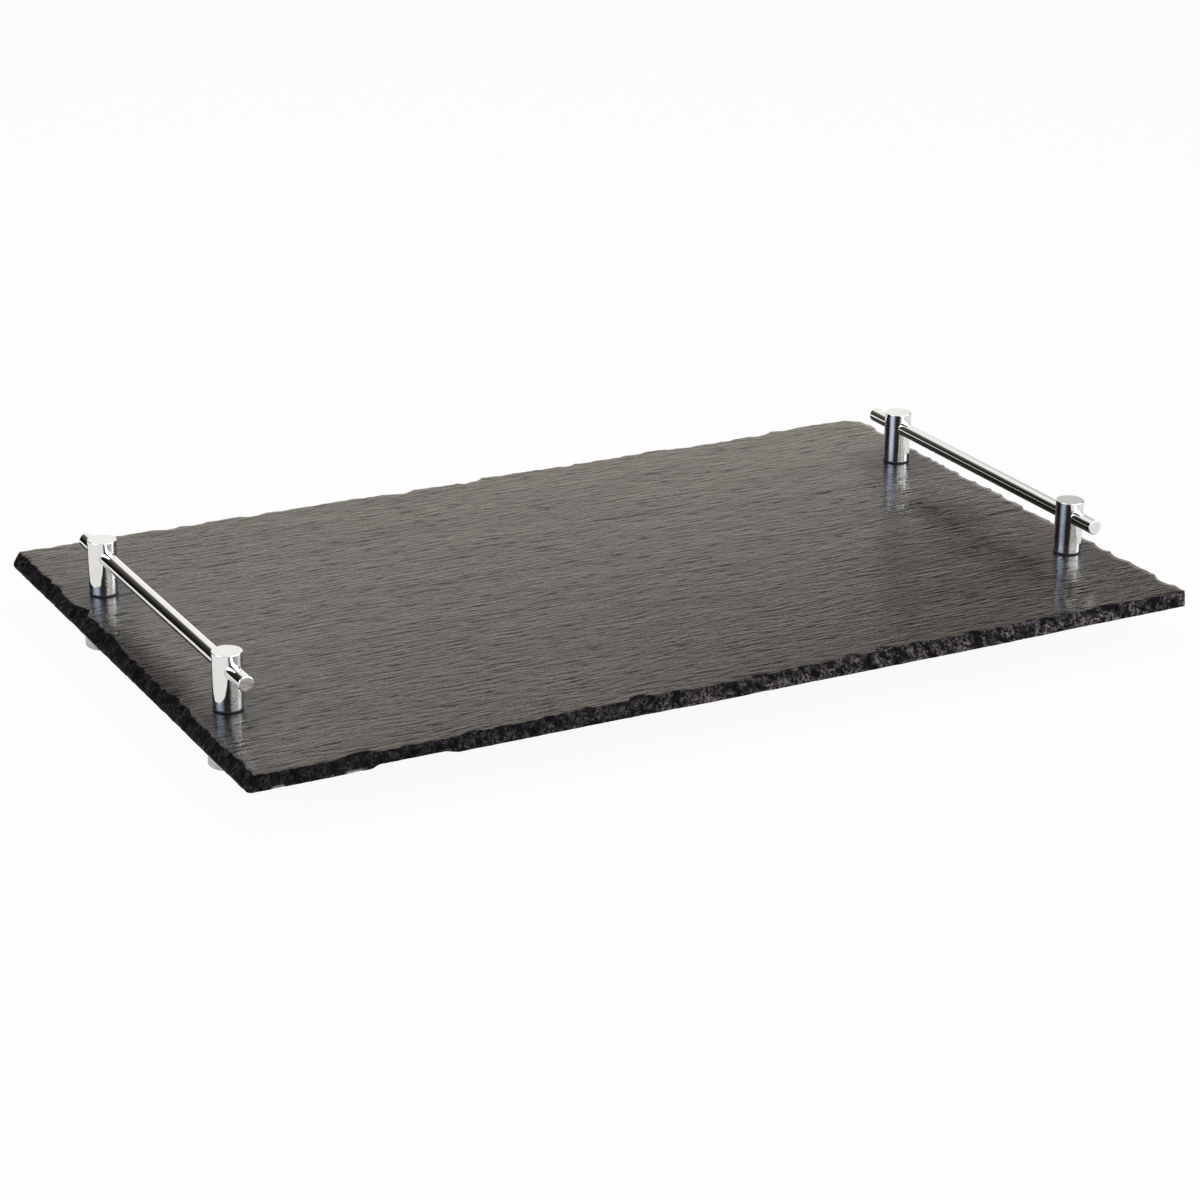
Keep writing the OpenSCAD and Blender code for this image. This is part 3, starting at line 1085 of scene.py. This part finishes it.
    def relief_mark(self, point: Vector) -> float:
        """Says how strong the grain's relief is at a point of the split face.

        Args:
            point: The point.

        Returns:
            1 at the front left, less to the right, to the rear and where the face was rubbed flat.
        """
        rightward, rearward = 0.5 + 0.5 * point.x / self.reach_x, 0.5 + 0.5 * point.y / self.reach_y
        right_loss, rear_loss = self.relief_losses
        strength = self.front_left_relief - right_loss * rightward - rear_loss * rearward
        strength = min(max(strength, self.least_relief), 1.0)
        return strength * (1 - self.rubbed_share * self.dressed_mark(point))

    def along_half(self, run: Band) -> tuple[float, float]:
        """Returns a run along the board in metres, from its shares of half the board's length."""
        return run[0] * self.reach_x, run[1] * self.reach_x

    def oil_and_shade_mark(self, point: Vector) -> float:
        """Says how much of the oiled split face's gloss shows at a point, with painted shade.

        Args:
            point: The point.

        Returns:
            1 where the gloss is full, less towards the front and the left edge, in spots and in the
            deeper lines as painted shade, and raised again near the posts.
        """
        how, x, y = self.oil_gloss_shade, point.x, point.y
        # Painted shade: the gloss falls towards the front and its right, and along the left edge.
        forward = min(max(0.5 - 0.5 * y / (self.reach_y - self.margin), 0.0), 1.0)
        past_left = smooth_step(x - how.broad_skew * y, *self.along_half(how.broad_run))
        past_middle = smooth_step(x, *self.along_half(how.front_run))
        oil = 1 - how.broad_loss * forward * past_left
        oil *= 1 - how.front_loss * forward**how.front_power * past_middle
        near_left = 1 - smooth_step(self.reach_x + x, *how.left_run)
        left_share = 1 - how.left_end_gain * smooth_step(abs(y - how.left_middle), *how.left_end_run)
        oil *= 1 - how.left_loss * near_left * left_share
        # Near the posts the painted shade is taken back, so that their reflections in the face stay bright.
        rubbed = 1 - smooth_step(self.post_distance(point), *how.post_unshaded_run)
        oil += how.post_unshaded_gain * rubbed * (1 - oil)
        for spot in how.spots:
            oil *= 1 - spot.missing(x, y)
        # Painted shade: the deeper lines lose gloss.
        return oil**how.response * (1 - how.cleft_shade_loss * self.cleft_mark(point))

    def fleck_highlight_mark(self, flat: Vector) -> float:
        """Says how many light flecks, partly crumbs and partly painted highlight, show at a point of the
        block's sides.

        Args:
            flat: The point.

        Returns:
            Their share, more towards the right of the front side and towards the foot, as painted highlight.
        """
        low = 1 - smooth_step((flat.z - self.base) / self.thickness, *self.low_fleck_run)
        rightward = smooth_step(flat.x, *self.along_half(self.fleck_run))
        start, rise = self.fleck_shares
        low_start, low_rise = self.low_fleck_shares
        return (start + rise * rightward) * (low_start + low_rise * low)

    def fresh_mark(self, flat: Vector, level: float) -> float:
        """Says how fresh the break is at a point of the block's sides.

        Args:
            flat: The point.
            level: Its height as a share of the slab's thickness.

        Returns:
            0 on an old break, up to 1 in a fresh chip, with small pale specks along the foot.
        """
        marks = []
        for side in Side:
            depth, along = self.side_distance(side, flat.x, flat.y)
            if depth < self.skin:
                marks += [chip.fresh * chip.mark(side, along, level) for chip in self.chips]
                layer = self.SPECK_LAYER * side.value
                spot = Vector((along / self.speck_length, layer, level * self.speck_rows))
                pale = self.pale_specks * (self.left_specks if side is Side.LEFT else 1.0)
                low = 1 - smooth_step(level, *self.speck_height)
                marks.append(pale * smooth_step(noise.noise(spot), *self.speck_band) * low)
        return max(marks, default=0.0)

    def drill(self, slab: bpy.types.Object, inside: bpy.types.Material) -> None:
        """Drills the slab for the screws under its posts.

        Args:
            slab: The slab.
            inside: The finish of the holes' walls.
        """
        bits = bmesh.new()
        radius = self.drill_diameter / 2
        for post in self.posts:
            bmesh.ops.create_cone(
                bits,
                cap_ends=True,
                segments=self.drill_segments,
                radius1=radius,
                radius2=radius,
                depth=self.drill_reach * self.thickness,
                matrix=Matrix.Translation((post.x, post.y, (self.base + self.top) / 2)),
            )
        cutter = add_object("drill_bits", make_mesh("drill_bits", bits, inside))
        cut = slab.modifiers.new("screw_holes", "BOOLEAN")
        cut.operation = "DIFFERENCE"
        cut.object = cutter
        graph = bpy.context.evaluated_depsgraph_get()
        drilled = bpy.data.meshes.new_from_object(slab.evaluated_get(graph))
        slab.modifiers.clear()
        slab.data = drilled
        bpy.data.objects.remove(cutter)


@dataclass
class Gasket:
    """The black ring between a post and the slate, with its outer edge rounded by wear."""

    post: Post
    bore_diameter: float = 5.5 * MM
    edge_radius: float = 0.25 * MM
    edge_segments: int = 3
    segments: int = 96
    rim_share: float = 0.9

    def build(self, rubber: bpy.types.Material) -> bpy.types.Object:
        """Builds the ring.

        Args:
            rubber: Its finish.

        Returns:
            The ring.
        """
        node = self.post.node("gasket")
        low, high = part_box(node)
        middle, radius, bore = self.post.axis(), (high.x - low.x) / 2, self.bore_diameter / 2
        ring = bmesh.new()
        inner = bmesh.ops.create_circle(ring, segments=self.segments, radius=bore)["verts"]
        edges = list({edge for vert in inner for edge in vert.link_edges})
        wide = bmesh.ops.extrude_edge_only(ring, edges=edges)["geom"]
        outer = pick(wide, bmesh.types.BMVert)
        bmesh.ops.scale(ring, verts=outer, vec=(radius / bore, radius / bore, 1))
        thick = bmesh.ops.extrude_face_region(ring, geom=ring.faces[:])["geom"]
        top = pick(thick, bmesh.types.BMVert)
        bmesh.ops.translate(ring, verts=top, vec=(0, 0, high.z - low.z))
        rims = [
            edge
            for edge in ring.edges
            if all((vert.co.xy.length > self.rim_share * radius) for vert in edge.verts)
            and abs(edge.verts[0].co.z - edge.verts[1].co.z) < TINY
            and len({round(face.normal.z) for face in edge.link_faces}) > 1
        ]
        bmesh.ops.recalc_face_normals(ring, faces=ring.faces)
        bmesh.ops.bevel(
            ring,
            geom=rims,
            offset=self.edge_radius,
            offset_type="OFFSET",
            segments=self.edge_segments,
            profile=0.5,
            affect="EDGES",
            material=-1,
        )
        bmesh.ops.translate(ring, verts=ring.verts, vec=(middle.x, middle.y, low.z))
        piece = add_object(f"{node}_ring", make_mesh(f"{node}_ring", ring, rubber))
        piece.data.shade_smooth()
        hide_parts(node)
        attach(piece, "root")
        return piece


@dataclass
class Fittings:
    """The turned and moulded pieces whose CAD solids stay, and what each is finished in."""

    chrome: bpy.types.Material
    pale_rubber: bpy.types.Material
    zinc: bpy.types.Material

    def dress(self) -> list[str]:
        """Gives posts, bars, feet and screws their finishes.

        Returns:
            The names of the nodes that were dressed.
        """
        finishes = {"post": self.chrome, "foot": self.pale_rubber}
        finishes |= dict.fromkeys(("screw", "washer", "grub_screw"), self.zinc)
        nodes = {post.node(kind): finish for post in Post for kind, finish in finishes.items()}
        nodes |= {f"{end}_handle_bar": self.chrome for end in ("left", "right")}
        for name, finish in nodes.items():
            for slot in frame["nodes"][name].material_slots:
                slot.material = finish
        return sorted(nodes)


@dataclass(frozen=True)
class PhotoCamera:
    """The camera as the photograph has it, found from the slab's corners, the posts and the bars."""

    lens_mm: float = 98.35
    sensor_mm: float = 36.0
    yaw_deg: float = 28.664
    pitch_deg: float = 21.332
    roll_deg: float = 0.955
    x: float = -772.13 * MM
    y: float = -1418.49 * MM
    z: float = 643.53 * MM
    clip: Band = (0.05, 60.0)

    def build(self) -> None:
        """Makes the camera and looks through it."""
        data = bpy.data.cameras.new("photo_camera")
        data.lens, data.sensor_width = self.lens_mm, self.sensor_mm
        data.clip_start, data.clip_end = self.clip
        camera = add_object("photo_camera", data)
        turn = Matrix.Rotation(-math.radians(self.yaw_deg), 4, "Z")
        tip = Matrix.Rotation(math.radians(90 - self.pitch_deg), 4, "X")
        roll = Matrix.Rotation(math.radians(self.roll_deg), 4, "Z")
        camera.matrix_world = Matrix.Translation((self.x, self.y, self.z)) @ turn @ tip @ roll
        bpy.context.scene.camera = camera


@dataclass(frozen=True)
class Panel:
    """A soft box, a white card or a black flag that faces the board.

    Its bearing is in degrees to the right of the camera's side, as seen from the camera, and its rise
    in degrees above the table. Matt things are lit by its light, and polished things show its glow,
    which is nothing on a flag. Its edges fade out over a share of its size. It faces the board's
    middle, at the aim height.
    """

    name: str
    bearing_deg: float
    rise_deg: float
    distance: float
    width: float
    height: float
    light: float = 0.0
    glow: float = 0.0
    colour: str = WHITE
    cover: float = 1.0
    fade: float = 0.15
    aim_height: float = 0.03

    def place(self, yaw_deg: float) -> Matrix:
        """Works out where the panel stands.

        Args:
            yaw_deg: The camera's yaw, from which the bearing is counted.

        Returns:
            The panel's place, with its lit face, along local -Z, turned to the board.
        """
        bearing, rise = math.radians(self.bearing_deg - yaw_deg), math.radians(self.rise_deg)
        level = math.cos(rise)
        out = Vector((math.sin(bearing) * level, -math.cos(bearing) * level, math.sin(rise)))
        facing = (-out).to_track_quat("-Z", "Y").to_matrix().to_4x4()
        return Matrix.Translation(Vector((0, 0, self.aim_height)) + self.distance * out) @ facing


@dataclass(frozen=True)
class Studio:
    """The white sweep, soft boxes and flags round the board, as a camera with this yaw sees them."""

    yaw_deg: float
    floor_reach: float = 9.0
    floor_colour: str = "#f2f2f2"
    ambient: float = 0.55
    camera_lift: float = 0.94
    mirrored_lift: float = 0.3
    panels: tuple[Panel, ...] = (
        Panel("soft_box_left", -57, 22, 1.5, 1.75, 1.0, light=1.7, colour="#eef2ff", cover=0.0),
        Panel("card_left", -57, 22, 1.5, 1.75, 1.0, glow=6.6, colour="#c4d8ff", fade=0.38),
        Panel("soft_box_right", 47, 22, 1.7, 1.9, 1.1, light=1.6, glow=5.1, colour="#f4f7ff"),
        Panel("strip_right", 93, 22, 1.7, 0.8, 1.1, glow=13.5, colour="#e8f1ff"),
        Panel("soft_box_above", 170, 72, 1.3, 1.2, 0.9, light=1.0, glow=1.0),
        Panel("card_rear", 182, 4, 2.6, 2.6, 1.0, glow=1.2, colour="#fffdfa", fade=0.25),
        Panel("card_rear_left", -132, 20, 1.7, 0.8, 0.8, glow=0.3, colour="#b0a590", fade=0.5),
        Panel("flag_front", -5, 24, 2.2, 2.0, 2.4, glow=0.1, fade=0.1),
        Panel("flag_rear_left", -107, 10.6, 1.9, 3.63, 2.95, glow=0.05, colour="#b0a590", fade=0.27),
        Panel("flag_low", -98, 0, 0.546, 0.32, 0.12, fade=0.1),
        Panel("flag_rear_right", 127, 24, 1.9, 1.9, 2.2, glow=0.1, fade=0.12),
        Panel("shade_right", 141.5, 22.8, 0.542, 0.36, 0.36, cover=0.38, fade=0.25),
    )

    def build(self) -> None:
        """Sets up world, floor, lamps and flags."""
        self.build_world()
        self.build_floor()
        for panel in self.panels:
            if panel.light:
                self.hang_lamp(panel)
            if panel.cover:
                self.hang_card(panel)

    def build_world(self) -> None:
        """Makes the surround: plain white where camera and polished things see it, dimmer as a light."""
        world = bpy.data.worlds.new("white_surround")
        tree = empty_tree(world)
        path = add_node(tree, "LightPath").outputs
        seen = calculate(tree, "MAXIMUM", path["Is Camera Ray"], path["Is Glossy Ray"])
        seen = calculate(tree, "MAXIMUM", seen, path["Is Transmission Ray"])
        level = map_range(tree, seen, target=(self.ambient, 1.0))
        light = add_node(tree, "Background", {"Color": linear(WHITE), "Strength": level})
        add_node(tree, "OutputWorld", {"Surface": light.outputs["Background"]})
        bpy.context.scene.world = world

    def build_floor(self) -> None:
        """Lays the pale floor, lifted towards white for the camera, with the board's shadow kept."""
        material = bpy.data.materials.new("floor_white_board")
        tree = empty_tree(material)
        matt = add_node(tree, "BsdfDiffuse", {"Color": linear(self.floor_colour)})
        path = add_node(tree, "LightPath").outputs
        mirrored = calculate(tree, "MAXIMUM", path["Is Glossy Ray"], path["Is Transmission Ray"])
        faint = calculate(tree, "MULTIPLY", mirrored, self.mirrored_lift)
        lift = calculate(tree, "MULTIPLY_ADD", path["Is Camera Ray"], self.camera_lift, faint)
        self.glow_over(tree, lift, matt, WHITE, 1.0)
        self.put_up("floor", (self.floor_reach, self.floor_reach), material, Matrix.Identity(4))

    def glow_over(self, tree: Tree, share: Socket, below: bpy.types.Node, colour: str, glow: float) -> None:
        """Lays a glowing colour over another shader and links both to the tree's output.

        Args:
            tree: The node tree.
            share: How much of the glowing colour covers the other shader.
            below: The other shader.
            colour: The colour as hex.
            glow: How strongly it glows.
        """
        bright = add_node(tree, "Emission", {"Color": linear(colour), "Strength": glow}).outputs["Emission"]
        mixed = add_node(tree, "MixShader", {0: share, 1: below.outputs["BSDF"], 2: bright})
        add_node(tree, "OutputMaterial", {"Surface": mixed.outputs["Shader"]})

    def put_up(self, name: str, reach: Band, finish: bpy.types.Material, place: Matrix) -> bpy.types.Object:
        """Adds a flat sheet to the studio, which isn't part of the board.

        Args:
            name: Its name.
            reach: Half its size both ways.
            finish: Its material.
            place: Where it stands.

        Returns:
            The sheet.
        """
        shape = bmesh.new()
        size = Matrix.Diagonal((*reach, 1, 1))
        bmesh.ops.create_grid(shape, x_segments=1, y_segments=1, size=1.0, matrix=size)
        sheet = add_object(name, make_mesh(name, shape, finish))
        sheet.matrix_world = place
        return sheet

    def hang_lamp(self, panel: Panel) -> None:
        """Hangs the lamp of a soft box, which lights matt things only.

        Args:
            panel: The soft box.
        """
        data = bpy.data.lights.new(panel.name, "AREA")
        data.shape, data.size, data.size_y = "RECTANGLE", panel.width, panel.height
        data.color = linear(panel.colour)[:3]
        data.energy = panel.light * math.pi * panel.width * panel.height
        lamp = add_object(panel.name, data)
        lamp.matrix_world = panel.place(self.yaw_deg)
        lamp.visible_camera = lamp.visible_glossy = False

    def hang_card(self, panel: Panel) -> None:
        """Hangs a glowing card or a black flag that only polished things show.

        Args:
            panel: The card.
        """
        material = bpy.data.materials.new(f"{panel.name}_card")
        tree = empty_tree(material)
        place = add_node(tree, "TexCoord").outputs["Object"]
        apart = add_node(tree, "SeparateXYZ", {"Vector": place}).outputs
        shown = add_node(tree, "Value").outputs[0]
        shown.default_value = panel.cover
        for axis, size in (("X", panel.width), ("Y", panel.height)):
            edge = (size / 2, size / 2 * (1 - 2 * panel.fade))
            kept = map_range(tree, calculate(tree, "ABSOLUTE", apart[axis]), edge, ease=EASED)
            shown = calculate(tree, "MULTIPLY", shown, kept)
        self.glow_over(tree, shown, add_node(tree, "BsdfTransparent"), panel.colour, panel.glow)
        reach = (panel.width / 2, panel.height / 2)
        card = self.put_up(f"{panel.name}_card", reach, material, panel.place(self.yaw_deg))
        card.visible_camera = card.visible_diffuse = card.visible_transmission = False
        card.visible_shadow = card.visible_volume_scatter = False


# In millimetres: place along, place across, reach along and reach across. Then the share of gloss taken away
# as painted shade.
SHADE_SPOTS = (
    (185, -72, 115, 85, 0.13),
    (206, -62, 30, 100, 0.24),
    (222, -2, 30, 48, 0.36),
    (-248, -98, 18, 26, 0.3),
    (-246, -116, 14, 22, 0.16),
    (190, 42, 150, 95, 0.1),
    (236, 68, 34, 42, 0.15),
    (70, 115, 90, 60, 0.05),
    (-195, 130, 60, 60, 0.07),
    (-248, 60, 16, 26, 0.14),
)
# In millimetres: place along the side, width and reach into the face.
SPALLS = {
    Side.FRONT: (
        (-209, 18, 2.6),
        (-151, 12, 1.0),
        (-96, 22, 1.4),
        (-60, 14, 2.8),
        (22, 16, 0.9),
        (59, 9, 2.3),
        (80, 12, 2.5),
        (101, 14, 1.2),
        (131, 9, 2.0),
        (173, 15, 2.6),
        (213, 15, 2.8),
    ),
    Side.REAR: ((-166, 66, 3.6), (-2, 22, 3.4), (30, 56, 1.9)),
    Side.LEFT: ((-65, 6, 1.4), (-26, 10, 1.5), (135, 7, 1.1)),
}


def main() -> None:
    """Builds the board's pieces in order, then the studio round them."""
    logging.basicConfig(level=logging.INFO, format="%(message)s")
    shade_spots = (ShadeSpot(*(size * MM for size in sizes), share) for *sizes, share in SHADE_SPOTS)
    places = ((side, sizes) for side, rows in SPALLS.items() for sizes in rows)
    spalls = (Spall(side, *(size * MM for size in sizes)) for side, sizes in places)
    slab = SlateSlab(
        oil_gloss_shade=OilGlossShade(spots=tuple(shade_spots)),
        clefts=(
            Cleft(252 * MM, -17.3 * MM, 30 * MM, 5),
            Cleft(-172 * MM, 96 * MM, 26 * MM, 4),
            Cleft(54 * MM, 68 * MM, 44 * MM, -3),
        ),
        chips=(
            Chip(Side.FRONT, -212 * MM, 10 * MM, -0.2, 0.16, 0.3 * MM, fresh=0.9),
            Chip(Side.FRONT, -250 * MM, 7 * MM, -0.2, 0.2, 0.4 * MM, fresh=0.5),
            Chip(Side.FRONT, -181 * MM, 46 * MM, -0.25, 0.34, 3.4 * MM, fresh=0.0),
        ),
        spalls=tuple(spalls),
    )
    piece = slab.build(CleftSlate().make(), HewnSlate().make())
    log.info("%s: %d triangles", piece.name, len(piece.data.polygons))

    black_rubber = Rubber("rubber_black").make()
    for post in Post:
        ring = Gasket(post).build(black_rubber)
        log.info("%s: %d faces", ring.name, len(ring.data.polygons))

    pale_rubber = Rubber(
        "rubber_pale_translucent",
        colour="#bdb9b4",
        worn_colour="#c8c4bf",
        roughness=(0.34, 0.5),
        see_depth=2.5 * MM,
    )
    fittings = Fittings(ChromePlate().make(), pale_rubber.make(), ZincSteel().make())
    log.info("dressed: %s", ", ".join(fittings.dress()))

    bpy.context.scene.view_settings.view_transform = "Standard"
    camera = PhotoCamera()
    camera.build()
    Studio(camera.yaw_deg).build()


if __name__ == "__main__":
    main()
